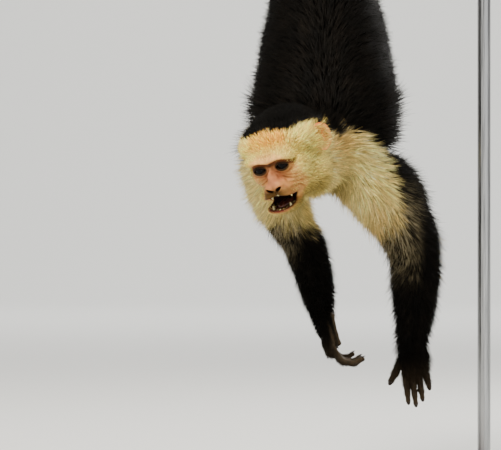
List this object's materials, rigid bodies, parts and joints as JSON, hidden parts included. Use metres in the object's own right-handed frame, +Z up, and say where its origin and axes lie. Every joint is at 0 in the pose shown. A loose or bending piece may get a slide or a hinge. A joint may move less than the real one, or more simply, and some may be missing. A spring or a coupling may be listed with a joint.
{
  "type": "capuchin monkey",
  "caption": "Life-size museum model of a white-faced capuchin monkey hanging head down from a cut branch, mouth open, arms reaching down, held by a flat base and a rod.",
  "frame": {"origin": "centre of the base's underside, on the floor", "axes": "+Z up, -Y towards the side that the animal's back and face look out on, +X towards the animal's left"},
  "size_m": [0.33, 0.312, 0.8519],
  "materials": {
    "black_coat": "dense black fur with a faint brown sheen, long and loose on the flanks and limbs",
    "cream_coat": "soft cream to ochre fur, grizzled brown towards the back and the elbows",
    "pink_skin": "thin bare pink skin, finely creased",
    "dark_skin": "bare dark brown skin with short black hair on the backs",
    "mouth_flesh": "wet dark red flesh",
    "eyeball": "wet glossy dark brown eye",
    "bark": "rough grey-brown bark with paler cut ends",
    "stand_wood": "dark stained wood, satin lacquer",
    "stand_steel": "brushed steel"
  },
  "bodies": {
    "root": {"eye_left": "eyeball", "ear_left": "pink_skin", "eye_right": "eyeball", "ear_right": "pink_skin", "head": "cream_coat", "jaw": "cream_coat", "tongue": "mouth_flesh", "hips": "black_coat", "belly": "black_coat", "chest": "black_coat", "neck": "cream_coat", "upper_arm_left": "cream_coat", "forearm_left": "black_coat", "hand_left": "dark_skin", "upper_arm_right": "cream_coat", "forearm_right": "black_coat", "hand_right": "dark_skin", "thigh_left": "black_coat", "shank_left": "black_coat", "foot_left": "dark_skin", "thigh_right": "black_coat", "shank_right": "black_coat", "foot_right": "dark_skin", "tail_1": "black_coat", "tail_2": "black_coat", "tail_3": "black_coat", "tail_4": "black_coat", "tail_5": "black_coat", "perch": "bark", "stand_rod": "stand_steel", "stand_collar": "stand_steel", "stand_base": "stand_wood"}
  },
  "joints": []
}
